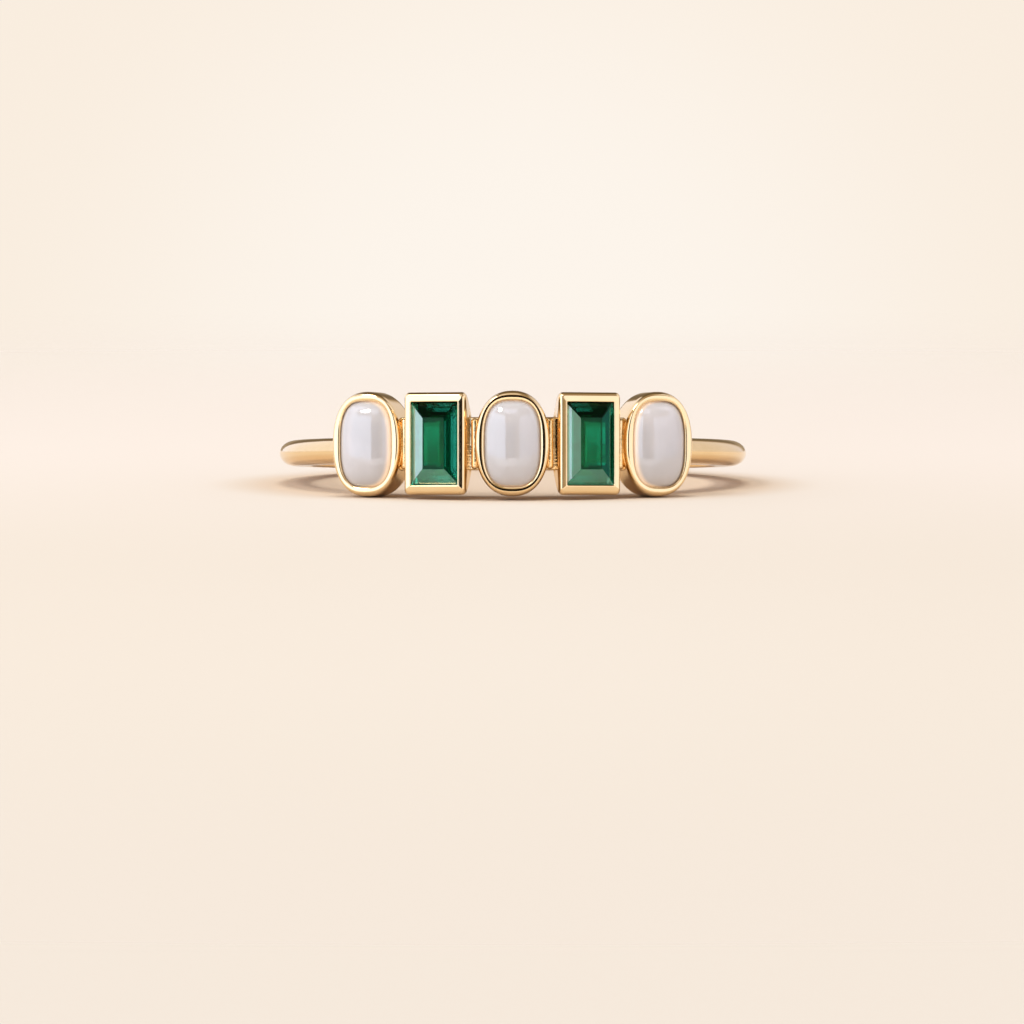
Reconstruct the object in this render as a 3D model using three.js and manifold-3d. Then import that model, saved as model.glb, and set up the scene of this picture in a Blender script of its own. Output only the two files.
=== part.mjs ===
// Five-stone stacking ring: a half-round shank with a row of five bezel cups across its front.
// The cups hold three oval cabochons and two step-cut emeralds, in turn.
// Millimetres, +Z up. The ring is drawn about its finger hole, with the hole along Z and the stones
// towards -Y, and is then laid down as it rests on a table: on its two end cups and the back of its shank.
import * as THREE from "three";
import { mergeVertices } from "three/addons/utils/BufferGeometryUtils.js";
import Module from "manifold-3d";

const wasm = await Module();
wasm.setup();

// Shank
const holeDiameter = 17.3;
const shankThickness = 1.4;
const shankWidth = 1.1;
const shankSideHeight = 0.7; // flat side, from the finger hole out to the foot of the dome
const shankEdgeBevel = 0.12; // at the finger hole
const shankDrop = 0.22; // its middle lies this far to one side of the middle of the cups

// Row of cups
const settingRise = 1.35; // from the crown of the shank to the crest of the rims
const cupGap = 0.4; // between neighbouring rims
const endCupGap = 0.28; // the same for the two end cups
const endCupTurn = 22; // degrees that an end cup faces outwards, less than its place round the finger
const galleryHeight = 2.2; // of the bars, and of the cups where they meet the finger
const barDrop = 0.62; // from the crest of the rims down to the bars
const barBite = 0.5; // how far a bar runs into the cup at each end
const barEdgeRound = 0.08;

// Rim of a cup
const rimRollDrop = 0.28; // from the crest down to the shoulder
const rimRollShare = 0.5; // of the rim's width, outside the crest
const crestWidth = 0.03;
const lipCover = 0.09; // how far the lip laps over the stone's girdle
const lipLand = 0.05; // upright edge of the lip
const lipDrop = 0.12; // from the crest down to that edge
const seatClearance = 0.03; // between a stone and its cup

// Oval cabochon and its cup. A fullness of 2 is an ellipse, and more is squarer.
const ovalWidth = 2.5;
const ovalLength = 3.75;
const ovalFullness = 2.9;
const ovalGirdleHeight = 0.3;
const ovalBaseBevel = 0.08;
const ovalDomeHeight = 0.92; // above the girdle
const ovalRimWidth = 0.39; // from the lip to the outside of the cup
const ovalCupFullness = 2.25;
const ovalLedge = 0.34; // seat under the stone
const ovalBaseWidth = 2.3; // of the cup at the finger
const ovalBaseFullness = 4;
const ovalBackHole = 1.5; // width of the open back at the finger

// Step-cut emerald and its cup
const emeraldWidth = 2.18;
const emeraldLength = 3.6;
const emeraldCorner = 0.06; // cropped corner
const emeraldGirdleHeight = 0.05;
const crownStepHeight = 0.2;
const crownStepInset = 0.24;
const crownHeight = 0.38;
const tableWidth = 0.9;
const tableLength = 2.1;
const pavilionDepth = 0.85;
const keelLength = 1.7;
const keelWidth = 0.06;
const emeraldRimSide = 0.325; // from the lip to the outside of the cup, beside the stone
const emeraldRimEnd = 0.41; // the same, above and below it
const emeraldCupCorner = 0.2;
const emeraldBaseWidth = 2.0; // of the cup at the finger
const emeraldBackHole = 1.1; // width of the open back at the finger

// Fineness of the meshes
const turnSteps = 96;
const domeSteps = 8;
const ovalSteps = 36;
const cupCornerSteps = 3;
const stoneCornerSteps = 1;
const rollSteps = 4;
const cabochonSteps = 6;

// Worked out from the sizes above
const { lerp } = THREE.MathUtils;
const holeRadius = holeDiameter / 2;
const overcut = 0.15; // what is drawn inside the finger hole and then cut away
const footReach = 0.7; // the same for the feet of the cups
const crestRadius = holeRadius + shankThickness + settingRise;
const shoulderRadius = crestRadius - rimRollDrop;
const backWall = 0.36; // metal around an open back
const ovalCup = {
  halfWidth: ovalWidth / 2 - lipCover + ovalRimWidth,
  halfLength: ovalLength / 2 - lipCover + ovalRimWidth,
  fullness: ovalCupFullness,
};
const emeraldCup = {
  halfWidth: emeraldWidth / 2 - lipCover + emeraldRimSide,
  halfLength: emeraldLength / 2 - lipCover + emeraldRimEnd,
  corner: emeraldCupCorner,
};
// Neighbouring cups stand this far apart round the finger, as an angle.
function spacing(gap) {
  return 2 * Math.asin((ovalCup.halfWidth + emeraldCup.halfWidth + gap) / 2 / crestRadius);
}

const pitch = spacing(cupGap);
const endAngle = pitch + spacing(endCupGap);
const endFacing = THREE.MathUtils.degToRad(endCupTurn);

// How the walls of a cup draw in below the shoulder: down is a share of the way to the finger hole,
// and drawnIn a share of the way from the rim's outline to the base's.
const ovalTaper = [
  { down: 0, drawnIn: 0 },
  { down: 0.4, drawnIn: 0.03 },
  { down: 0.52, drawnIn: 0.2 },
  { down: 0.64, drawnIn: 0.52 },
  { down: 0.76, drawnIn: 0.82 },
  { down: 0.88, drawnIn: 1 },
];
const emeraldTaper = [
  { down: 0, drawnIn: 0 },
  { down: 0.06, drawnIn: 0.07 },
  { down: 0.13, drawnIn: 0.23 },
  { down: 0.2, drawnIn: 0.43 },
  { down: 0.27, drawnIn: 0.65 },
  { down: 0.34, drawnIn: 0.87 },
  { down: 0.41, drawnIn: 1 },
];

// An oval, as far each way as halfWidth and halfLength.
function oval({ halfWidth, halfLength, fullness }) {
  const points = [];
  for (let i = 0; i < ovalSteps; i++) {
    const turn = (i / ovalSteps) * 2 * Math.PI;
    const [c, s] = [Math.cos(turn), Math.sin(turn)];
    const x = halfWidth * Math.sign(c) * Math.abs(c) ** (2 / fullness);
    const y = halfLength * Math.sign(s) * Math.abs(s) ** (2 / fullness);
    points.push(new THREE.Vector2(x, y));
  }
  return points;
}

// A rectangle with rounded corners, or with cropped ones where cornerSteps is 1.
function rectangle({ halfWidth, halfLength, corner }, cornerSteps) {
  const centres = [
    [halfWidth - corner, halfLength - corner],
    [corner - halfWidth, halfLength - corner],
    [corner - halfWidth, corner - halfLength],
    [halfWidth - corner, corner - halfLength],
  ];
  const points = [];
  centres.forEach(([x, y], quarter) => {
    for (let i = 0; i <= cornerSteps; i++) {
      const turn = (quarter + i / cornerSteps) * (Math.PI / 2);
      points.push(new THREE.Vector2(x + corner * Math.cos(turn), y + corner * Math.sin(turn)));
    }
  });
  return points;
}

// A closed solid through sections listed from the inside out, each with its level along Z.
// The last section is closed to a point at peak, where one is given.
function loft(sections, outline, peak) {
  const rings = sections.map(outline);
  const count = rings[0].length;
  const positions = rings.flatMap((ring, i) => ring.flatMap((p) => [p.x, p.y, sections[i].level]));
  const last = sections.length - 1;
  positions.push(0, 0, sections[0].level, 0, 0, peak ?? sections[last].level);
  const bottom = count * sections.length;
  const index = [];
  for (let k = 0; k < count; k++) {
    const next = (k + 1) % count;
    index.push(bottom, next, k, bottom + 1, last * count + k, last * count + next);
    for (let i = 0; i < last; i++) {
      const [a, b] = [i * count + k, i * count + next];
      index.push(a, b, b + count, a, b + count, a + count);
    }
  }
  const geometry = new THREE.BufferGeometry();
  geometry.setAttribute("position", new THREE.Float32BufferAttribute(positions, 3));
  geometry.setIndex(index);
  return geometry;
}

const roundedRectangle = (section) => rectangle(section, cupCornerSteps);
const croppedRectangle = (section) => rectangle(section, stoneCornerSteps);

function solidFrom(geometry) {
  const bare = geometry.clone();
  bare.deleteAttribute("normal");
  bare.deleteAttribute("uv");
  const merged = mergeVertices(bare);
  const vertProperties = merged.attributes.position.array;
  const triVerts = new Uint32Array(merged.index.array);
  return new wasm.Manifold(new wasm.Mesh({ numProp: 3, vertProperties, triVerts }));
}

function geometryFrom(solid) {
  const mesh = solid.getMesh();
  const geometry = new THREE.BufferGeometry();
  geometry.setAttribute("position", new THREE.BufferAttribute(mesh.vertProperties, 3));
  geometry.setIndex(new THREE.BufferAttribute(mesh.triVerts, 1));
  const faceted = geometry.toNonIndexed();
  faceted.computeVertexNormals();
  return faceted;
}

// Takes a shape drawn with its outward side along +Z to its place in the row. The crest of its rim lies
// at an angle round the finger, and it faces outwards by an angle of its own.
function faceOut(geometry, { angle, facing }) {
  const across = crestRadius * (Math.sin(angle) - Math.sin(facing));
  const back = crestRadius * (Math.cos(facing) - Math.cos(angle));
  return geometry.rotateX(Math.PI / 2).rotateZ(facing).translate(across, back, 0);
}

// Half-round shank, a little proud of the finger hole until the hole is cut.
function shankGeometry() {
  const halfWidth = shankWidth / 2;
  const domeFoot = holeRadius + shankSideHeight;
  const domeRise = shankThickness - shankSideHeight;
  const drawnRadius = holeRadius - overcut;
  const drawnHalfWidth = halfWidth - shankEdgeBevel - overcut;
  const profile = [new THREE.Vector2(drawnRadius, -drawnHalfWidth)];
  profile.push(new THREE.Vector2(holeRadius + shankEdgeBevel, -halfWidth));
  for (let i = 0; i <= domeSteps; i++) {
    const turn = (i / domeSteps - 0.5) * Math.PI;
    profile.push(new THREE.Vector2(domeFoot + domeRise * Math.cos(turn), halfWidth * Math.sin(turn)));
  }
  profile.push(new THREE.Vector2(holeRadius + shankEdgeBevel, halfWidth));
  profile.push(new THREE.Vector2(drawnRadius, drawnHalfWidth));
  profile.push(profile[0].clone());
  return new THREE.LatheGeometry(profile, turnSteps).rotateX(Math.PI / 2).translate(0, 0, -shankDrop);
}

function fingerHoleGeometry() {
  const reach = 2 * (Math.max(ovalCup.halfLength, emeraldCup.halfLength, shankWidth) + shankDrop);
  return new THREE.CylinderGeometry(holeRadius, holeRadius, 2 * reach, turnSteps).rotateX(Math.PI / 2);
}

// The section that lies a share of the way from one to another, at a level of its own.
function between(from, to, share, level) {
  const section = {
    halfWidth: lerp(from.halfWidth, to.halfWidth, share),
    halfLength: lerp(from.halfLength, to.halfLength, share),
    level,
  };
  for (const key of ["fullness", "corner"]) {
    if (key in from) section[key] = lerp(from[key], to[key], share);
  }
  return section;
}

// The same section, wider and longer all round.
function grown(section, by) {
  const wider = { halfWidth: section.halfWidth + by, halfLength: section.halfLength + by };
  return { ...section, ...wider };
}

// Outside of a cup: its walls up to the shoulder, then the roll from the shoulder to the crest.
function cupSections(cup, base, lip, taper) {
  const wall = taper.map(({ down, drawnIn }) =>
    between(cup, base, drawnIn, lerp(shoulderRadius, holeRadius, down)),
  );
  const foot = { ...wall[wall.length - 1], level: holeRadius - footReach };
  const roll = [];
  for (let i = 1; i <= rollSteps; i++) {
    const turn = (i / rollSteps) * (Math.PI / 2);
    const across = rimRollShare * (1 - Math.cos(turn));
    roll.push(between(cup, lip, across, shoulderRadius + rimRollDrop * Math.sin(turn)));
  }
  return [foot, ...wall.reverse(), ...roll];
}

// What is cut from a cup above the stone: the lip's upright edge, and the slope up to the crest.
function mouthSections(cup, lip) {
  const slopeShare = 1 - rimRollShare - crestWidth / (cup.halfWidth - lip.halfWidth);
  const landTop = crestRadius - lipDrop;
  const sections = [{ ...lip, level: landTop - lipLand }];
  for (let i = 0; i <= rollSteps; i++) {
    const turn = (i / rollSteps) * (Math.PI / 2);
    const outward = slopeShare * (1 - Math.cos(turn));
    sections.push(between(lip, cup, outward, landTop + lipDrop * Math.sin(turn)));
  }
  const top = sections[sections.length - 1];
  sections.push({ ...top, level: crestRadius + rimRollDrop });
  return sections;
}

const lipBottom = crestRadius - lipDrop - lipLand;

// Cabochon: a flat base, a short girdle and a dome whose foot runs under the lip.
const ovalGirdle = { halfWidth: ovalWidth / 2, halfLength: ovalLength / 2, fullness: ovalFullness };
const ovalLip = grown(ovalGirdle, -lipCover);
const ovalBase = {
  halfWidth: ovalBaseWidth / 2,
  halfLength: galleryHeight / 2,
  fullness: ovalBaseFullness,
};
const ovalLipRise = ovalDomeHeight * Math.sqrt(1 - (1 - lipCover / ovalGirdle.halfWidth) ** 2);
const ovalGirdleTop = lipBottom - seatClearance - ovalLipRise;
const ovalStoneBase = ovalGirdleTop - ovalGirdleHeight - ovalBaseBevel;

function cabochonSections() {
  const sections = [
    { ...grown(ovalGirdle, -ovalBaseBevel), level: ovalStoneBase },
    { ...ovalGirdle, level: ovalStoneBase + ovalBaseBevel },
  ];
  for (let i = 0; i < cabochonSteps; i++) {
    const turn = (i / cabochonSteps) * (Math.PI / 2);
    sections.push({
      ...ovalGirdle,
      halfWidth: ovalGirdle.halfWidth * Math.cos(turn),
      halfLength: ovalGirdle.halfLength * Math.cos(turn),
      level: ovalGirdleTop + ovalDomeHeight * Math.sin(turn),
    });
  }
  return sections;
}

function ovalSeatSections() {
  const seat = grown(ovalGirdle, seatClearance);
  const ledge = grown(ovalGirdle, -ovalLedge);
  const back = {
    halfWidth: ovalBackHole / 2,
    halfLength: galleryHeight / 2 - backWall,
    fullness: ovalBaseFullness,
  };
  const ledgeLevel = ovalStoneBase - seatClearance;
  return [
    { ...back, level: holeRadius - 2 * shankThickness },
    { ...back, level: holeRadius },
    { ...ledge, level: ledgeLevel - seatClearance },
    { ...seat, level: ledgeLevel },
    { ...seat, level: ovalGirdleTop },
    ...mouthSections(ovalCup, ovalLip),
  ];
}

// Emerald: two steps of crown facets up to the table, and three steps of pavilion facets down to the keel.
const emeraldGirdle = { halfWidth: emeraldWidth / 2, halfLength: emeraldLength / 2, corner: emeraldCorner };
const emeraldLip = grown(emeraldGirdle, -lipCover);
const emeraldBase = {
  halfWidth: emeraldBaseWidth / 2,
  halfLength: galleryHeight / 2,
  corner: emeraldCupCorner,
};
const emeraldLipRise = (crownStepHeight * lipCover) / crownStepInset;
const emeraldGirdleTop = lipBottom - seatClearance - emeraldLipRise;
const emeraldGirdleBottom = emeraldGirdleTop - emeraldGirdleHeight;

// Pavilion steps: down is a share of its depth, and inward a share of the way from the girdle to the keel.
const pavilionSteps = [
  { down: 1, inward: 1 },
  { down: 0.75, inward: 0.62 },
  { down: 0.4, inward: 0.26 },
  { down: 0, inward: 0 },
];

function pavilionSection({ down, inward }) {
  const keel = { halfWidth: keelWidth / 2, halfLength: keelLength / 2, corner: keelWidth / 4 };
  return between(emeraldGirdle, keel, inward, emeraldGirdleBottom - pavilionDepth * down);
}

function emeraldSections() {
  const crownStep = { ...grown(emeraldGirdle, -crownStepInset), corner: emeraldCorner * 0.8 };
  const table = { halfWidth: tableWidth / 2, halfLength: tableLength / 2, corner: emeraldCorner * 0.6 };
  return [
    ...pavilionSteps.map(pavilionSection),
    { ...emeraldGirdle, level: emeraldGirdleTop },
    { ...crownStep, level: emeraldGirdleTop + crownStepHeight },
    { ...table, level: emeraldGirdleTop + crownHeight },
  ];
}

function emeraldSeatSections() {
  const seat = grown(emeraldGirdle, seatClearance);
  const bearing = grown(pavilionSection(pavilionSteps[2]), seatClearance);
  const keelRoom = grown(pavilionSection(pavilionSteps[1]), seatClearance);
  const keel = grown(pavilionSection(pavilionSteps[0]), seatClearance);
  const back = {
    halfWidth: emeraldBackHole / 2,
    halfLength: galleryHeight / 2 - backWall,
    corner: emeraldCorner,
  };
  return [
    { ...back, level: holeRadius - 2 * shankThickness },
    { ...back, level: holeRadius },
    { ...keel, halfWidth: back.halfWidth, level: keel.level - seatClearance },
    { ...keelRoom, halfWidth: Math.max(keelRoom.halfWidth, back.halfWidth) },
    bearing,
    { ...seat, level: emeraldGirdleBottom - seatClearance },
    { ...seat, level: emeraldGirdleTop },
    ...mouthSections(emeraldCup, emeraldLip),
  ];
}

// The two kinds of cup, each with its stone and the room that the stone needs.
const kinds = {
  cabochon: {
    stone: () => loft(cabochonSections(), oval, ovalGirdleTop + ovalDomeHeight),
    cup: () => loft(cupSections(ovalCup, ovalBase, ovalLip, ovalTaper), oval),
    seat: () => loft(ovalSeatSections(), oval),
    material: new THREE.MeshStandardMaterial({ color: 0xdcd6df, roughness: 0.12, metalness: 0 }),
  },
  emerald: {
    stone: () => loft(emeraldSections(), croppedRectangle),
    cup: () => loft(cupSections(emeraldCup, emeraldBase, emeraldLip, emeraldTaper), roundedRectangle),
    seat: () => loft(emeraldSeatSections(), croppedRectangle),
    material: new THREE.MeshStandardMaterial({ color: 0x0f7447, roughness: 0.05, metalness: 0 }),
  },
};

const row = [
  { name: "cabochon_left", kind: kinds.cabochon, angle: -endAngle, facing: -endFacing },
  { name: "emerald_left", kind: kinds.emerald, angle: -pitch, facing: -pitch },
  { name: "cabochon_centre", kind: kinds.cabochon, angle: 0, facing: 0 },
  { name: "emerald_right", kind: kinds.emerald, angle: pitch, facing: pitch },
  { name: "cabochon_right", kind: kinds.cabochon, angle: endAngle, facing: endFacing },
];

// A short bar between two cups, from the finger up to a rounded outer edge.
function barGeometry() {
  const bar = { halfWidth: cupGap / 2 + barBite, halfLength: galleryHeight / 2, corner: barEdgeRound };
  const top = crestRadius - barDrop;
  const edge = { ...grown(bar, -barEdgeRound / 2), corner: barEdgeRound / 2 };
  return loft(
    [
      { ...bar, level: holeRadius - overcut },
      { ...bar, level: top - barEdgeRound },
      { ...edge, level: top },
    ],
    croppedRectangle,
  );
}

function metalSolid() {
  let metal = solidFrom(shankGeometry());
  for (const cup of row) {
    metal = metal.add(solidFrom(faceOut(cup.kind.cup(), cup)));
  }
  for (let i = 1; i < row.length; i++) {
    const middle = (row[i - 1].angle + row[i].angle) / 2;
    metal = metal.add(solidFrom(faceOut(barGeometry(), { angle: middle, facing: middle })));
  }
  metal = metal.subtract(solidFrom(fingerHoleGeometry()));
  for (const cup of row) {
    metal = metal.subtract(solidFrom(faceOut(cup.kind.seat(), cup)));
  }
  return metal;
}

// The lean at which the lowest point in front of the ring's middle and the lowest behind it are level.
function restingLean(geometry) {
  const points = geometry.attributes.position;
  let lean = 0;
  for (let pass = 0; pass < 6; pass++) {
    const lowest = { front: { y: 0, z: Infinity, drop: Infinity }, back: { y: 0, z: Infinity, drop: Infinity } };
    for (let i = 0; i < points.count; i++) {
      const [y, z] = [points.getY(i), points.getZ(i)];
      const side = y < 0 ? "front" : "back";
      const drop = z * Math.cos(lean) - y * Math.sin(lean);
      if (drop < lowest[side].drop) lowest[side] = { y, z, drop };
    }
    const { front, back } = lowest;
    lean = Math.atan2(back.z - front.z, back.y - front.y);
  }
  return lean;
}

const gold = new THREE.MeshStandardMaterial({ color: 0xdcae6a, roughness: 0.14, metalness: 1 });
const ring = new THREE.Group();
const band = new THREE.Mesh(geometryFrom(metalSolid()), gold);
band.name = "band_and_bezels";
ring.add(band);

for (const cup of row) {
  const stone = new THREE.Mesh(geometryFrom(solidFrom(faceOut(cup.kind.stone(), cup))), cup.kind.material);
  stone.name = cup.name;
  ring.add(stone);
}

// Laid down: leaned back onto the table, with the origin under the middle of its box.
ring.rotation.x = -restingLean(band.geometry);
const laid = new THREE.Group();
laid.add(ring);
const box = new THREE.Box3().setFromObject(laid, true);
const middle = box.getCenter(new THREE.Vector3());
ring.position.set(-middle.x, -middle.y, -box.min.z);

export default laid;
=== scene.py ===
import math

import bmesh
import bpy
from mathutils import Matrix, Vector


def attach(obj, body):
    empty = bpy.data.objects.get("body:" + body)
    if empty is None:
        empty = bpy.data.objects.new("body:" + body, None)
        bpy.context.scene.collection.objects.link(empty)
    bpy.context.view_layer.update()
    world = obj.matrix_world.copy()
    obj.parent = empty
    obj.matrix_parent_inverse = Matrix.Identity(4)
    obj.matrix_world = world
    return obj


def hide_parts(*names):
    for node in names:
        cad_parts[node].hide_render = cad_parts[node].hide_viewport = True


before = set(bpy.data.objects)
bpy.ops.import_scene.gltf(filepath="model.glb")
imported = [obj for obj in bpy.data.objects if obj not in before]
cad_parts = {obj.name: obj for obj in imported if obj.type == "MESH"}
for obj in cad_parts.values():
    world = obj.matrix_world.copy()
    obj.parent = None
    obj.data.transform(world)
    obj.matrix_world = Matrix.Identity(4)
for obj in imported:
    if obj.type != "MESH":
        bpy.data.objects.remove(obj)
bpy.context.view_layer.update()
scene = bpy.context.scene
mm = 0.001

# The ring is shaped in millimetres about its finger hole, with the hole along Z and the stones
# towards -Y, and is laid down last, as it rests on two cups and its back.
ringPlace = {
    "middle": (0.0, 0.87255, 1.48678),
    "lean": -4.4107,  # degrees
    "crest": 11.4,  # from the middle of the finger hole out to the crest of the rims
    "hole": 8.65,
}

# Degrees round the finger to the crest of each cup, and how far it faces outwards
cupPlaces = {
    "left": (-32.4249, -22.0),
    "leftInner": (-16.5171, -16.5171),
    "centre": (0.0, 0.0),
    "rightInner": (16.5171, 16.5171),
    "right": (32.4249, 22.0),
}


def ringMatrix():
    place = Matrix.Translation(Vector(ringPlace["middle"]) * mm)
    return place @ Matrix.Rotation(math.radians(ringPlace["lean"]), 4, "X") @ Matrix.Scale(mm, 4)


def rowMatrix(place):  # from a shape drawn facing up to its place in the row
    angle, facing = (math.radians(degrees) for degrees in place)
    across = ringPlace["crest"] * (math.sin(angle) - math.sin(facing))
    back = ringPlace["crest"] * (math.cos(facing) - math.cos(angle))
    turn = Matrix.Translation((across, back, 0)) @ Matrix.Rotation(facing, 4, "Z")
    return turn @ Matrix.Rotation(math.radians(90), 4, "X")


# Small helpers for working in edit mode

def pick(piece):
    for other in bpy.context.selected_objects:
        other.select_set(False)
    piece.select_set(True)
    bpy.context.view_layer.objects.active = piece


def editMode(piece):
    pick(piece)
    bpy.ops.object.mode_set(mode="EDIT")
    bpy.ops.mesh.select_mode(type="VERT")
    bpy.ops.mesh.select_all(action="DESELECT")


def objectMode():
    bpy.ops.object.mode_set(mode="OBJECT")


def selectWhere(piece, test):
    bpy.ops.mesh.select_all(action="DESELECT")
    mesh = bmesh.from_edit_mesh(piece.data)
    for vertex in mesh.verts:
        vertex.select_set(bool(test(vertex.co)))
    mesh.select_flush_mode()
    bmesh.update_edit_mesh(piece.data)


def selectAll():
    bpy.ops.mesh.select_all(action="SELECT")


def named(piece, name):
    piece.name = piece.data.name = name
    return piece


def copyOf(piece, name):
    twin = piece.copy()
    twin.data = piece.data.copy()
    scene.collection.objects.link(twin)
    return named(twin, name)


def remove(piece):
    bpy.data.meshes.remove(piece.data)


def bakePlace(piece, matrix):
    piece.data.transform(matrix)
    piece.data.update()
    return piece


def joined(pieces, name):
    pick(pieces[0])
    for other in pieces[1:]:
        other.select_set(True)
    bpy.ops.object.join()
    return named(bpy.context.object, name)


def combine(piece, other, operation):  # the other piece is used up
    modifier = piece.modifiers.new(operation.lower(), "BOOLEAN")
    modifier.operation = operation
    modifier.solver = "MANIFOLD"
    modifier.object = other
    pick(piece)
    bpy.ops.object.modifier_apply(modifier=modifier.name)
    remove(other)


print("camera")
cameraPlace = {
    "elevation": 3.35,
    "turn": -0.1,
    "distance": 250.0,
    "frameSize": 1024,  # pixels
    "pixelsPerMm": 23.18,
    "ringAt": (512.8, 448.4),  # the pixel that the ring's middle falls on
}


def makeCamera():
    place = cameraPlace
    above, turn = math.radians(place["elevation"]), math.radians(place["turn"])
    middle = Vector(ringPlace["middle"])
    level = math.cos(above)
    forward = Vector((math.sin(turn) * level, math.cos(turn) * level, -math.sin(above)))
    right = forward.cross(Vector((0, 0, 1))).normalized()
    up = right.cross(forward)
    eye = middle - forward * place["distance"]
    aside, below = ((place["frameSize"] / 2 - pixel) / place["pixelsPerMm"] for pixel in place["ringAt"])
    aim = middle + right * aside - up * below
    data = bpy.data.cameras.new("camera")
    camera = bpy.data.objects.new("camera", data)
    scene.collection.objects.link(camera)
    data.sensor_width = 36
    data.lens = data.sensor_width * place["pixelsPerMm"] * place["distance"] / place["frameSize"]
    data.clip_start = 0.01
    data.clip_end = 20
    data.dof.use_dof = False
    camera.location = eye * mm
    camera.rotation_euler = (aim - eye).to_track_quat("-Z", "Y").to_euler()
    scene.camera = camera


makeCamera()


# Outlines are added as planes whose corners are rounded, one above the other, and then bridged.
# A fullness of 2 rounds one to an ellipse, and more is squarer. One with a corner stays straight-sided.
lofting = {
    "rowStep": 1e-4,  # added from row to row, so that no two lie at one level
    "sameLevel": 2e-5,
    "weld": 0.0005,
}


def addRow(row):
    at = (0, 0, row["level"])
    half = (row["width"] / 2, row["length"] / 2, 1)
    bpy.ops.mesh.select_all(action="DESELECT")
    bpy.ops.mesh.primitive_plane_add(size=2, location=at)
    if "fullness" in row:
        profile = 0.25 ** (1 / row["fullness"])
        bpy.ops.mesh.bevel(affect="VERTICES", offset=1, segments=row["steps"], profile=profile)
        bpy.ops.mesh.remove_doubles(threshold=lofting["weld"])
        bpy.ops.transform.resize(value=half, center_override=at)
    else:
        bpy.ops.transform.resize(value=half, center_override=at)
        bpy.ops.mesh.bevel(affect="VERTICES", offset=row["corner"], segments=row["steps"])
    bpy.ops.mesh.delete(type="ONLY_FACE")


def atLevels(*levels):
    return lambda co: any(abs(co.z - level) < lofting["sameLevel"] for level in levels)


def loftRows(name, rows, ends="closed"):
    rows = [dict(row, level=row["level"] + i * lofting["rowStep"]) for i, row in enumerate(rows)]
    bpy.ops.mesh.primitive_plane_add(size=1)
    piece = named(bpy.context.object, name)
    editMode(piece)
    selectAll()
    bpy.ops.mesh.delete(type="VERT")
    for row in rows:
        addRow(row)
    pairs = list(zip(rows, rows[1:]))
    if ends == "joined":
        pairs.append((rows[-1], rows[0]))
    for one, other in pairs:
        selectWhere(piece, atLevels(one["level"], other["level"]))
        bpy.ops.mesh.bridge_edge_loops()
    if ends == "closed":
        for end in (rows[0], rows[-1]):
            selectWhere(piece, atLevels(end["level"]))
            bpy.ops.mesh.edge_face_add()
    selectAll()
    bpy.ops.mesh.normals_make_consistent(inside=False)
    objectMode()
    return piece


def between(one, other, share, level):
    row = {key: value + (other[key] - value) * share for key, value in one.items() if key != "steps"}
    return dict(row, level=level, steps=one["steps"])


def grown(row, by):
    return dict(row, width=row["width"] + 2 * by, length=row["length"] + 2 * by)


def smoothly(share):
    share = min(max(share, 0), 1)
    return share * share * (3 - 2 * share)


print("cups")
rims = {
    "rollDrop": 0.28,  # from the crest down to the shoulder
    "lipDrop": 0.12,  # from the crest down to the lip's upright edge
    "lipLand": 0.02,  # height of that edge
    "lipBend": 3.0,  # 2 gives the inner slope an ellipse, and more keeps it flatter up to the lip
    "rollSteps": 12,
    "wallSteps": 14,
    "footReach": 0.7,  # drawn inside the finger hole, and then cut away
    "coreMargin": 0.08,  # how far the bars and the shank stop short of the room for a stone
}
ovalCup = {
    "rollShare": 0.5,  # of the rim's width, outside the crest band
    "crestShare": 0.06,
    "crestDrop": 0.0,  # how far the crest band falls towards the outside
    "rim": {"width": 3.10, "length": 4.35, "fullness": 2.25, "steps": 24},
    "lip": {"width": 2.32, "length": 3.57, "fullness": 2.9, "steps": 24},
    "base": {"width": 2.30, "length": 2.20, "fullness": 4.0, "steps": 24},
    "wall": (0.36, 0.88),  # the rows of the wall lie between these shares of the way down
    "endsDrawIn": (0.36, 0.88),  # and its upper and lower ends draw in between these
    "sidesDrawIn": (0.36, 0.88),
    "room": [  # for the stone: width, length and level, down to the open back
        (2.56, 3.81, 11.22), (2.56, 3.81, 10.447), (1.82, 3.07, 10.417), (1.5, 1.48, 8.65),
    ],
}
emeraldCup = {
    "rollShare": 0.44,
    "crestShare": 0.38,
    "crestDrop": 0.038,
    "rim": {"width": 2.65, "length": 4.24, "corner": 0.2, "steps": 6},
    "lip": {"width": 2.0, "length": 3.42, "corner": 0.03, "steps": 6},
    "base": {"width": 2.0, "length": 2.2, "corner": 0.2, "steps": 6},
    "wall": (0.0, 0.6),
    "endsDrawIn": (0.0, 0.41),
    "sidesDrawIn": (0.28, 0.6),
    "room": [
        (2.24, 3.66, 11.22), (2.24, 3.66, 11.045), (1.688, 3.166, 10.735),
        (1.1, 2.482, 10.4375), (1.1, 1.76, 10.195), (1.1, 1.48, 8.65),
    ],
}


def roomRows(cup, by=0.0):  # the room under the lip, past the finger hole and the foot of the cup
    rows = []
    for width, length, level in cup["room"]:
        rows.append(grown(dict(cup["lip"], width=width, length=length, level=level), by))
    return rows + [dict(rows[-1], level=ringPlace["hole"] - rims["footReach"] - 0.2)]


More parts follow.
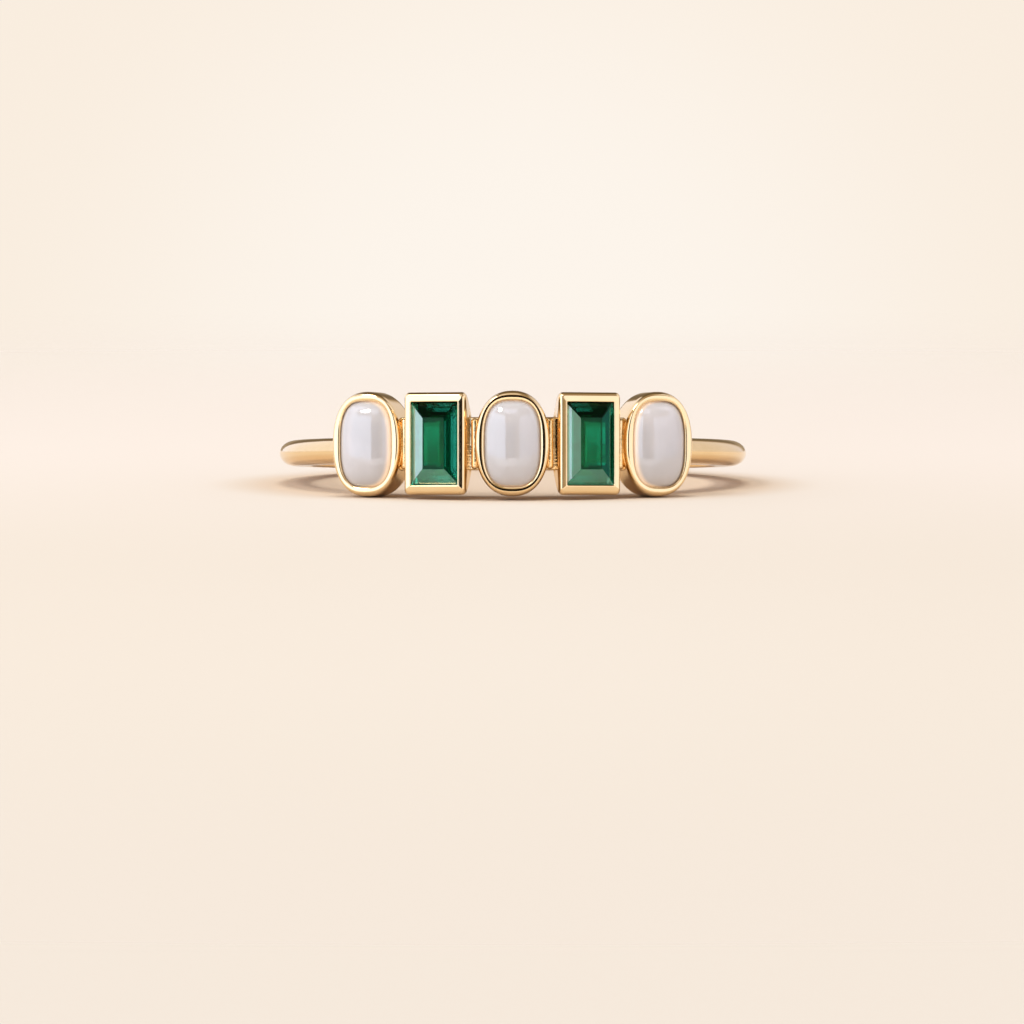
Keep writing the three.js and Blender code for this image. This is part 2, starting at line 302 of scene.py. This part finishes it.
def cupRows(cup):
    crest, hole = ringPlace["crest"], ringPlace["hole"]
    shoulder, landTop = crest - rims["rollDrop"], crest - rims["lipDrop"]
    rows = [dict(cup["base"], level=hole - rims["footReach"])]
    wallTop, wallFoot = cup["wall"]
    first, last = cup["endsDrawIn"]
    sidesFirst, sidesLast = cup["sidesDrawIn"]
    for i in range(rims["wallSteps"], -1, -1):
        down = wallTop + (wallFoot - wallTop) * i / rims["wallSteps"]
        drawnIn = smoothly((down - first) / (last - first))
        row = between(cup["rim"], cup["base"], drawnIn, shoulder + (hole - shoulder) * down)
        sides = smoothly((down - sidesFirst) / (sidesLast - sidesFirst))
        row["width"] = cup["rim"]["width"] + (cup["base"]["width"] - cup["rim"]["width"]) * sides
        rows.append(row)
    if wallTop > 0:
        rows.append(dict(cup["rim"], level=shoulder))
    steps, rollHeight = rims["rollSteps"], rims["rollDrop"] - cup["crestDrop"]
    for i in range(1, steps + 1):
        turn = i / steps * math.pi / 2
        share = cup["rollShare"] * (1 - math.cos(turn))
        rows.append(between(cup["rim"], cup["lip"], share, shoulder + rollHeight * math.sin(turn)))
    slope, bend = 1 - cup["rollShare"] - cup["crestShare"], rims["lipBend"]
    for i in [0] + list(range(2, steps + 1)):  # row 1 would lie at the level of row 0
        inward = math.sin(i / steps * math.pi / 2)
        level = landTop + rims["lipDrop"] * (1 - inward ** bend) ** (1 / bend)
        rows.append(between(cup["rim"], cup["lip"], 1 - slope * (1 - inward), level))
    rows.append(dict(cup["lip"], level=landTop - rims["lipLand"]))
    return rows + roomRows(cup)


def makeCups():
    shapes = {}
    for kind, cup in (("oval", ovalCup), ("emerald", emeraldCup)):
        shapes[kind] = loftRows(kind + "Cup", cupRows(cup), ends="joined")
        shapes[kind + "Core"] = loftRows(kind + "Core", roomRows(cup, by=rims["coreMargin"]))
    cups, cores = [], []
    for name, place in cupPlaces.items():
        kind = "emerald" if "Inner" in name else "oval"
        cups.append(bakePlace(copyOf(shapes[kind], "cup"), rowMatrix(place)))
        cores.append(bakePlace(copyOf(shapes[kind + "Core"], "core"), rowMatrix(place)))
    for shape in shapes.values():
        remove(shape)
    return joined(cups, "cups"), joined(cores, "cores")


print("bars")
bars = {
    "width": 1.4,
    "height": 2.2,
    "top": 10.78,
    "edgeRound": 0.08,
    "edgeSteps": 6,
    "footReach": 0.3,  # drawn inside the finger hole, and then cut away
    "ribWidth": 0.3,
    "ribHeight": 2.1,
    "ribTop": 10.92,
    "ribRound": 0.13,
    "angles": (-24.471, -8.2586, 8.2586, 24.471),
    "castFrom": 10.2,  # the cast skin starts this far out from the middle of the finger hole
    "castReach": 4.5,  # and goes this many degrees to each side of a bar's middle
    "castSlope": 0.8,  # faces that look along the row more than this belong to the cups
}


def roundedBlock(name, width, height, top, edgeRound):
    foot = ringPlace["hole"] - bars["footReach"]
    at = (0, 0, (foot + top) / 2)
    bpy.ops.mesh.primitive_cube_add(size=1, location=at)
    block = named(bpy.context.object, name)
    bpy.ops.object.transform_apply(location=True, rotation=True, scale=True)
    editMode(block)
    selectAll()
    bpy.ops.transform.resize(value=(width, height, top - foot), center_override=at)
    bpy.ops.mesh.bevel(affect="EDGES", offset=edgeRound, segments=bars["edgeSteps"])
    objectMode()
    return block


def makeBars():
    bar = roundedBlock("bar", bars["width"], bars["height"], bars["top"], bars["edgeRound"])
    rib = roundedBlock("rib", bars["ribWidth"], bars["ribHeight"], bars["ribTop"], bars["ribRound"])
    combine(bar, rib, "UNION")
    copies = [bakePlace(copyOf(bar, "bar"), rowMatrix((angle, angle))) for angle in bars["angles"]]
    remove(bar)
    return joined(copies, "bars")


print("shank")
shank = {
    "thickness": 1.4,
    "width": 1.1,
    "sideHeight": 0.7,  # flat side, from the finger hole out to the foot of the dome
    "edgeRound": 0.12,
    "edgeSteps": 4,
    "drop": 0.22,  # its middle lies this far to one side of the middle of the cups
    "turns": 256,
    "domeSteps": 48,
    "smoothAngle": 32,
}


def makeShank():
    foot = ringPlace["hole"] + shank["sideHeight"]
    domeHeight = shank["thickness"] - shank["sideHeight"]
    at, upright = (foot, 0, 0), (math.pi / 2, 0, 0)
    bpy.ops.mesh.primitive_circle_add(vertices=shank["domeSteps"], radius=1, location=at, rotation=upright)
    piece = named(bpy.context.object, "shank")
    bpy.ops.object.transform_apply(location=True, rotation=True, scale=True)
    editMode(piece)
    selectAll()
    bpy.ops.transform.resize(value=(domeHeight, 1, shank["width"] / 2), center_override=at)
    bpy.ops.mesh.bisect(plane_co=at, plane_no=(1, 0, 0), clear_inner=True)
    selectWhere(piece, lambda co: co.x < foot + 1e-5)
    bpy.ops.mesh.extrude_vertices_move(TRANSFORM_OT_translate={"value": (-shank["sideHeight"], 0, 0)})
    bpy.ops.mesh.edge_face_add()
    bpy.ops.mesh.bevel(affect="VERTICES", offset=shank["edgeRound"], segments=shank["edgeSteps"])
    selectAll()
    bpy.ops.mesh.spin(steps=shank["turns"], angle=2 * math.pi, center=(0, 0, 0), axis=(0, 0, 1))
    selectAll()
    bpy.ops.mesh.remove_doubles(threshold=lofting["weld"])
    selectAll()
    bpy.ops.transform.translate(value=(0, 0, -shank["drop"]))
    bpy.ops.mesh.normals_make_consistent(inside=False)
    objectMode()
    return piece


def makeMetal():
    cups, cores = makeCups()
    barRow = makeBars()
    band = makeShank()
    for piece in (barRow, band):  # they stop in the walls of the cups
        combine(piece, copyOf(cores, "core"), "DIFFERENCE")
    remove(cores)
    radius = ringPlace["hole"] + 0.002  # clears the inner side that the shank was drawn with
    bpy.ops.mesh.primitive_cylinder_add(vertices=shank["turns"], radius=radius, depth=12)
    fingerHole = named(bpy.context.object, "fingerHole")
    combine(barRow, cups, "UNION")
    combine(barRow, fingerHole, "DIFFERENCE")
    combine(band, barRow, "UNION")
    pick(band)
    bpy.ops.object.shade_smooth_by_angle(angle=math.radians(shank["smoothAngle"]))
    return named(band, "bandAndBezels")


def markBars(piece):  # the bars between the cups keep their cast skin, as the second finish
    for finish in ("polished", "cast"):
        piece.data.materials.append(None)
    for face in piece.data.polygons:
        out = math.hypot(face.center.x, face.center.y)
        withinDepth = bars["castFrom"] < out < bars["ribTop"] + 0.05
        if not withinDepth or abs(face.center.z) > bars["height"] / 2 + 0.02:
            continue
        angle = math.degrees(math.atan2(face.center.x, -face.center.y))
        near = min(abs(angle - at) for at in bars["angles"])
        along = face.normal.x * face.center.y - face.normal.y * face.center.x
        if near < bars["castReach"] and abs(along) < bars["castSlope"] * out:
            face.material_index = 1


metalPiece = makeMetal()
markBars(metalPiece)
bakePlace(metalPiece, ringMatrix())

print("cabochons")
cabochon = {
    "girdle": {"width": 2.53, "length": 3.74, "fullness": 2.9, "steps": 24},
    "base": 10.477,
    "baseBevel": 0.08,
    "girdleTop": 10.91,
    "domeHeight": 0.867,
    "endShape": 0.6,  # 1 draws the dome in at its ends as at its sides, and less keeps it full
    "domeSteps": 28,
    "smoothAngle": 35,
    "pieces": {"cabochonLeft": "left", "cabochonCentre": "centre", "cabochonRight": "right"},
}


def makeCabochon():
    girdle = cabochon["girdle"]
    rows = [
        dict(grown(girdle, -cabochon["baseBevel"]), level=cabochon["base"]),
        dict(girdle, level=cabochon["base"] + cabochon["baseBevel"]),
    ]
    for i in range(cabochon["domeSteps"]):  # ends in a small flat just short of the top
        turn = i / (cabochon["domeSteps"] - 0.4) * math.pi / 2
        width = girdle["width"] * math.cos(turn)
        length = girdle["length"] * math.cos(turn) ** cabochon["endShape"]
        level = cabochon["girdleTop"] + cabochon["domeHeight"] * math.sin(turn)
        rows.append(dict(girdle, width=width, length=length, level=level))
    stone = loftRows("cabochon", rows)
    pick(stone)
    bpy.ops.object.shade_smooth_by_angle(angle=math.radians(cabochon["smoothAngle"]))
    return stone


cabochonShape = makeCabochon()
cabochonPieces = {}
for name, side in cabochon["pieces"].items():
    cabochonPieces[name] = bakePlace(copyOf(cabochonShape, name), ringMatrix() @ rowMatrix(cupPlaces[side]))
remove(cabochonShape)

print("emeralds")
emerald = {
    "girdle": {"width": 2.2, "length": 3.62, "corner": 0.05, "steps": 1},
    "keel": {"width": 0.06, "length": 1.7, "corner": 0.015, "steps": 1},
    "table": {"width": 0.92, "length": 2.14, "corner": 0.03, "steps": 1},
    "girdleBottom": 11.12,
    "girdleTop": 11.17,
    "pavilionDepth": 0.85,
    "pavilion": [(1, 1), (0.75, 0.62), (0.4, 0.26)],  # shares of the depth and of the way in to the keel
    "crownHeight": 0.325,
    "crownStep": (0.62, 0.45),  # shares of its height and of the way in to the table
    "pieces": {"emeraldLeft": "leftInner", "emeraldRight": "rightInner"},
    "nodes": {"emeraldLeft": "emerald_left", "emeraldRight": "emerald_right"},
    # The lit and shaded sides are copies of one beryl, with painted light and shade
    "finishes": ["pavilion", "table", "litSide", "topSide", "bottomSide"],
}


def makeEmerald():
    girdle, top = emerald["girdle"], emerald["girdleTop"]
    rows = []
    for down, inward in emerald["pavilion"]:
        level = emerald["girdleBottom"] - emerald["pavilionDepth"] * down
        rows.append(between(girdle, emerald["keel"], inward, level))
    rows += [dict(girdle, level=emerald["girdleBottom"]), dict(girdle, level=top)]
    up, inward = emerald["crownStep"]
    rows.append(between(girdle, emerald["table"], inward, top + emerald["crownHeight"] * up))
    rows.append(dict(emerald["table"], level=top + emerald["crownHeight"]))
    return loftRows("emerald", rows)


def facetKind(face):  # which of the beryl finishes a facet takes
    if face.normal.z < 0.1:
        return "pavilion"
    if face.normal.z > 0.99:
        return "table" if face.center.z > emerald["girdleTop"] + 0.2 else "pavilion"
    if abs(face.normal.x) > abs(face.normal.y):
        return "litSide" if face.normal.x < 0 else "pavilion"
    return "topSide" if face.normal.y > 0 else "bottomSide"


emeraldShape = makeEmerald()
for kind in emerald["finishes"]:
    emeraldShape.data.materials.append(None)
for face in emeraldShape.data.polygons:
    face.use_smooth = False
    face.material_index = emerald["finishes"].index(facetKind(face))
emeraldPieces = {}
for name, side in emerald["pieces"].items():
    emeraldPieces[name] = bakePlace(copyOf(emeraldShape, name), ringMatrix() @ rowMatrix(cupPlaces[side]))
remove(emeraldShape)


# Shader maths: a wire holds one output of a node, and an expression on wires adds the Math nodes

class Wire:
    def __init__(self, tree, socket=None):
        self.tree = tree
        self.socket = socket

    def node(self, kind, settings=None, sockets=None, output=0):
        made = self.tree.nodes.new("ShaderNode" + kind)
        for name, value in (settings or {}).items():
            setattr(made, name, value)
        for name, value in (sockets or {}).items():
            if isinstance(value, Wire):
                self.tree.links.new(value.socket, made.inputs[name])
            else:
                made.inputs[name].default_value = value
        return Wire(self.tree, made.outputs[output])

    def feed(self, socket):
        self.tree.links.new(self.socket, socket)

    def maths(self, operation, first, second=0.0):
        return self.node("Math", {"operation": operation}, {0: first, 1: second})

    def __add__(self, other):
        return self.maths("ADD", self, other)

    __radd__ = __add__

    def __sub__(self, other):
        return self.maths("SUBTRACT", self, other)

    def __rsub__(self, other):
        return self.maths("SUBTRACT", other, self)

    def __mul__(self, other):
        return self.maths("MULTIPLY", self, other)

    __rmul__ = __mul__


def rise(value, first, last):  # 0 below first, 1 above last, smooth in between
    sockets = {"Value": value, "From Min": first, "From Max": last}
    return value.node("MapRange", {"interpolation_type": "SMOOTHSTEP"}, sockets)


def blendColours(share, one, other):
    settings = {"data_type": "RGBA"}
    return share.node("Mix", settings, {0: share, 6: one, 7: other}, output=2)


def objectPlace(wire):
    return wire.node("TexCoord", output=3)


def newMaterial(name, constants):
    material = bpy.data.materials.new(name)
    material.use_nodes = True
    shader = material.node_tree.nodes["Principled BSDF"]
    for socket, value in constants.items():
        shader.inputs[socket].default_value = value
    return material, Wire(material.node_tree), shader.inputs


def noise(wire, place, scale, detail=2.0, rough=0.5):
    return wire.node("TexNoise", {}, {"Vector": place, "Scale": scale, "Detail": detail, "Roughness": rough})


def fromAxis(wire, place):  # metres from the axis of the finger hole
    middle = Vector(ringPlace["middle"]) * mm
    turned = {"Location": middle, "Rotation": (math.radians(ringPlace["lean"]), 0, 0)}
    local = wire.node("Mapping", {"vector_type": "TEXTURE"}, dict(turned, Vector=place))
    flat = wire.node("VectorMath", {"operation": "MULTIPLY"}, {0: local, 1: (1, 1, 0)})
    return wire.node("VectorMath", {"operation": "LENGTH"}, {0: flat}, output=1)


print("materials")
gold = {
    "polished": {
        "deep": (0.90, 0.66, 0.36, 1),
        "pale": (0.94, 0.71, 0.41, 1),
        "roughness": (0.07, 0.13),
        "grain": {"scale": 5200.0, "strength": 0.04, "depth": 0.00002},
    },
    "cast": {
        "deep": (0.84, 0.57, 0.26, 1),
        "pale": (0.94, 0.71, 0.41, 1),
        "roughness": (0.07, 0.17),
        "grain": {"scale": 9000.0, "strength": 0.3, "depth": 0.00003},
    },
    "hazeScale": 900.0,
}


def goldMaterial(kind):
    finish = gold[kind]
    grain = finish["grain"]
    material, wire, inputs = newMaterial(kind + "Gold", {"Metallic": 1.0})
    place = objectPlace(wire)
    haze = noise(wire, place, gold["hazeScale"], 3)
    grit = noise(wire, place, grain["scale"], 4)
    blendColours(rise(haze, 0.2, 0.8), finish["deep"], finish["pale"]).feed(inputs["Base Color"])
    low, high = finish["roughness"]
    (low + (high - low) * haze).feed(inputs["Roughness"])
    sockets = {"Height": grit, "Strength": grain["strength"], "Distance": grain["depth"]}
    wire.node("Bump", {}, sockets).feed(inputs["Normal"])
    return material


milk = {
    "base": (0.585, 0.555, 0.54, 1),
    "cloud": (0.635, 0.595, 0.58, 1),
    "rim": (0.95, 0.76, 0.58, 1),  # painted reflection: the stone's colour warmed where it would mirror the gold of the cup
    "paintedRimGlow": (0.24, 0.17, 0.11, 1),
    "paintedRimBand": (11.1, 11.2, 11.38),  # millimetres from the hole's axis: where the painted reflection and glow start, peak and end
    "cloudScale": 500.0,
    "roughness": (0.05, 0.05),  # the least, and what the fine noise adds
}


def milkMaterial():
    constants = {
        "Emission Strength": 1.0,
        "IOR": 1.54,
        "Specular IOR Level": 1.0,
        "Subsurface Weight": 0.5,
        "Subsurface Radius": (1.0, 0.9, 0.9),
        "Subsurface Scale": 0.0006,
    }
    material, wire, inputs = newMaterial("milkyStone", constants)
    place = objectPlace(wire)
    cloud = noise(wire, place, milk["cloudScale"], 3)
    body = blendColours(rise(cloud, 0.35, 0.65), milk["base"], milk["cloud"])
    low, peak, high = (level * mm for level in milk["paintedRimBand"])
    out = fromAxis(wire, place)
    # Painted reflection and glow: a warm band near the stone's foot in its base colour, and a glow in its
    # emission
    rim = rise(out, low, peak) * (1 - rise(out, peak, high))
    blendColours(rim, body, milk["rim"]).feed(inputs["Base Color"])
    blendColours(rim, (0, 0, 0, 1), milk["paintedRimGlow"]).feed(inputs["Emission Color"])
    fine = noise(wire, place, milk["cloudScale"] * 6, 2)
    least, added = milk["roughness"]
    (least + added * fine).feed(inputs["Roughness"])
    return material


beryl = {
    "deep": (0.0008, 0.21, 0.085),
    "bright": (0.003, 0.31, 0.145),
    "gardenScale": 1400.0,
    "clear": 0.92,
    "paintedLightSides": {  # painted light over a side, as a paler base colour, and how clear it leaves it
        "litSide": ((0.27, 0.24, 0.24), 0.4),
        "bottomSide": ((0.17, 0.37, 0.27), 0.7),
    },
    "finishes": {  # share of the full colour, roughness and what else is set; the top side's small share is painted shade
        "pavilion": (1.0, 0.02, {"Specular Tint": (0.1, 0.7, 0.5, 1)}),
        "table": (1.0, 0.2, {"Specular IOR Level": 0.0, "Specular Tint": (0.2, 0.3, 0.2, 1)}),
        "litSide": (1.0, 0.01, {"Coat Weight": 1.0, "Coat IOR": 2.1, "Coat Roughness": 0.02}),
        "topSide": (0.06, 0.03, {"Specular Tint": (0.1, 0.3, 0.2, 1)}),
        "bottomSide": (1.0, 0.03, {}),
    },
}


def berylMaterial(kind):
    share, rough, extras = beryl["finishes"][kind]
    haze, clear = beryl["paintedLightSides"].get(kind, ((0, 0, 0), beryl["clear"]))
    constants = dict({"IOR": 1.58, "Transmission Weight": clear}, **extras)
    material, wire, inputs = newMaterial("greenBeryl" + kind[0].upper() + kind[1:], constants)
    place = objectPlace(wire)
    garden = noise(wire, place, beryl["gardenScale"], 4, 0.6)
    # Painted light and shade: the share darkens the top side, and the lift pales the lit side and the bottom
    # side
    deep, bright = (
        [part * share + lift for part, lift in zip(beryl[tone], haze)] + [1] for tone in ("deep", "bright")
    )
    blendColours(rise(garden, 0.3, 0.7), deep, bright).feed(inputs["Base Color"])
    (rough + 0.03 * garden).feed(inputs["Roughness"])
    return material


goldFinishes = [goldMaterial("polished"), goldMaterial("cast")]
milkFinish = milkMaterial()
berylFinishes = [berylMaterial(kind) for kind in emerald["finishes"]]


def dress(piece, *finishes):
    chosen = [face.material_index for face in piece.data.polygons]
    piece.data.materials.clear()
    for finish in finishes:
        piece.data.materials.append(finish)
    for face, index in zip(piece.data.polygons, chosen):
        face.material_index = min(index, len(finishes) - 1)


print("pieces join the frame")
dress(metalPiece, *goldFinishes)
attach(metalPiece, "root")
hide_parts("band_and_bezels")
for name, piece in cabochonPieces.items():
    dress(piece, milkFinish)
    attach(piece, "root")
    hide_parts("cabochon_" + cabochon["pieces"][name])
for name, piece in emeraldPieces.items():
    dress(piece, *berylFinishes)
    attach(piece, "root")
    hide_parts(emerald["nodes"][name])

print("studio")
studio = {
    "floorSize": 6.0,
    "floorColour": (0.735, 0.668, 0.595, 1),
    "paintedShadeFrontColour": (0.68, 0.616, 0.528, 1),  # painted shade: the paper darker nearer the camera
    "front": (-0.03, 0.05),  # metres towards the camera
    "paintedContactShadeColour": (0.64, 0.52, 0.40, 1),  # painted contact shade and warm bounce from the metal, under the ring
    "foot": (0.0095, 0.0135),
    "fade": (0.015, 0.22),  # metres from the ring over which the floor thins out into the backdrop
    "grainScale": 700.0,
    "roughness": (0.42, 0.1),  # the least, and what the grain adds
    "backdrop": (0.95, 0.85, 0.74, 1),
    "paintedGlow": (0.98, 0.91, 0.83, 1),  # a painted pool of light on the backdrop behind the ring
    "glowAt": (0.0, 0.9985, -0.04),
    "glowReach": (0.02, 0.1),
    "lowBackdrop": (0.915, 0.815, 0.715, 1),  # seen below the ring, past the floor
    "low": (0.085, 0.125),
}


def makeFloor():
    bpy.ops.mesh.primitive_plane_add(size=studio["floorSize"])
    floor = named(bpy.context.object, "floor")
    material, wire, inputs = newMaterial("paperFloor", {"Specular IOR Level": 0.0})
    place = objectPlace(wire)
    away = place.node("VectorMath", {"operation": "LENGTH"}, {0: place}, output=1)
    split = place.node("SeparateXYZ", {}, {0: place}, output=1)
    # Painted shade: the paper darkens towards the camera
    paper = blendColours(rise(-1.0 * split, *studio["front"]), studio["floorColour"], studio["paintedShadeFrontColour"])
    # Painted contact shade and warm bounce under the ring
    blendColours(rise(away, *studio["foot"]), studio["paintedContactShadeColour"], paper).feed(inputs["Base Color"])
    grain = noise(wire, place, studio["grainScale"], 3)
    least, added = studio["roughness"]
    (least + added * grain).feed(inputs["Roughness"])
    near, far = studio["fade"]
    (1 - rise(away, near, far)).feed(inputs["Alpha"])
    dress(floor, material)


# What the metal and the stones mirror: a bright box to each side, and a dimmer column in front between
# them. Each pair is where an edge starts and ends, in parts of the direction: x right, y away, z up.
mirrored = {
    "front": (-0.3, -0.1),
    "behind": (0.0, 0.2),
    "leftBox": {"edge": (0.30, 0.32), "frontTop": (0.52, 0.6), "power": 1.45},
    "rightBox": {"edge": (0.24, 0.4), "frontTop": (0.46, 0.56), "power": 0.95},
    "boxTop": (0.85, 0.9),
    "boxPart": (0.0, 0.7),  # the light at which the warm colour gives way to the boxes' own
    "column": {"left": (0.30, 0.32), "right": (0.07, 0.17), "power": 0.15},
    "columnCap": {"foot": (0.62, 0.7), "power": 0.8},
    "fill": 0.40,
    "behindDim": 0.5,
    "gapTop": (0.30, 0.38),  # below this the column is dark
    "above": {"foot": (0.70, 0.79), "top": (0.9, 0.97), "dark": 0.75},
    "beyond": {"side": (0.2, 0.35), "foot": (0.1, 0.2), "dark": 0.5},
    "darkest": 0.985,
    "warmColour": (0.96, 0.76, 0.52, 1),
    "boxColour": (0.94, 0.95, 1.08, 1),
    "windowColour": (0.84, 0.98, 1.22, 1),
}


def boxOfLight(box, outwards, z, front):
    upTo = 1 - front * rise(z, *box["frontTop"])
    return rise(outwards, *box["edge"]) * upTo * (1 - rise(z, *mirrored["boxTop"]))


def makeWorld():
    world = bpy.data.worlds.new("studio")
    world.use_nodes = True
    scene.world = world
    tree = world.node_tree
    tree.nodes.clear()
    wire = Wire(tree)
    place = wire.node("TexCoord", output=0)
    split = place.node("SeparateXYZ", {}, {0: place})
    x, y, z = (Wire(tree, split.socket.node.outputs[i]) for i in range(3))
    front = 1 - rise(y, *mirrored["front"])
    behind = rise(y, *mirrored["behind"])
    toLeft = -1.0 * x
    left, right, column = mirrored["leftBox"], mirrored["rightBox"], mirrored["column"]
    cap, above, beyond = mirrored["columnCap"], mirrored["above"], mirrored["beyond"]
    leftBox = boxOfLight(left, toLeft, z, front)
    rightBox = boxOfLight(right, x, z, front)
    middle = front * (1 - rise(toLeft, *column["left"])) * (1 - rise(x, *column["right"]))
    boxes = wire.maths("MAXIMUM", left["power"] * leftBox, right["power"] * rightBox)
    capLight = cap["power"] * middle * rise(z, *cap["foot"]) * (1 - rise(z, *mirrored["boxTop"]))
    shine = wire.maths("MAXIMUM", boxes * (1 - mirrored["behindDim"] * behind), capLight)
    gap = middle * (1 - rise(z, *mirrored["gapTop"]))
    high = rise(z, *above["foot"]) * (1 - rise(z, *above["top"]))
    far = behind * (1 - rise(wire.maths("ABSOLUTE", x), *beyond["side"])) * rise(z, *beyond["foot"])
    dark = wire.maths("MAXIMUM", gap, beyond["dark"] * far)
    dark = wire.maths("MAXIMUM", dark, above["dark"] * behind * high)
    level = (mirrored["fill"] + column["power"] * middle + shine) * (1 - mirrored["darkest"] * dark)
    hue = blendColours(rise(shine, *mirrored["boxPart"]), mirrored["warmColour"], mirrored["boxColour"])
    hue = blendColours(leftBox * front, hue, mirrored["windowColour"])
    lit = wire.node("Background", {}, {"Color": hue, "Strength": level})
    # The backdrop the camera sees, with a painted pool of light behind the ring
    off = place.node("VectorMath", {"operation": "DISTANCE"}, {0: place, 1: studio["glowAt"]}, output=1)
    wall = blendColours(rise(off, *studio["glowReach"]), studio["paintedGlow"], studio["backdrop"])
    wall = blendColours(rise(-1.0 * z, *studio["low"]), wall, studio["lowBackdrop"])
    seen = wire.node("Background", {}, {"Color": wall, "Strength": 1.0})
    camera = wire.node("LightPath", output=0)
    out = tree.nodes.new("ShaderNodeOutputWorld")
    wire.node("MixShader", {}, {0: camera, 1: lit, 2: seen}).feed(out.inputs[0])


lights = {
    "keyLight": {"at": (-0.22, -0.18, 0.34), "size": 0.14, "power": 0.5, "colour": (1.0, 0.97, 0.93)},
    "overheadLight": {
        "at": (0.0, 0.05, 1.2), "size": 0.6, "power": 7.3, "colour": (1.0, 0.97, 0.93), "mirrored": False,
    },
    "bounceLight": {  # a card on the floor before the ring, which lights the slopes of the rims
        "at": (0, -0.052, 0.0003), "size": 0.072, "power": 0.008, "colour": (1.0, 1.0, 1.1),
        "aim": (0, -0.052, 1.0), "seen": False,
    },
}


def makeLight(name, choice):
    data = bpy.data.lights.new(name, "AREA")
    data.shape = "DISK"
    data.size = choice["size"]
    data.energy = choice["power"]
    data.color = choice["colour"]
    light = bpy.data.objects.new(name, data)
    scene.collection.objects.link(light)
    light.location = choice["at"]
    light.visible_glossy = choice.get("mirrored", True)
    light.visible_camera = choice.get("seen", True)
    towards = Vector(choice.get("aim", (0, 0, 0))) - Vector(choice["at"])
    light.rotation_euler = towards.to_track_quat("-Z", "Y").to_euler()


makeFloor()
makeWorld()
for name, choice in lights.items():
    makeLight(name, choice)
scene.view_settings.view_transform = "Standard"
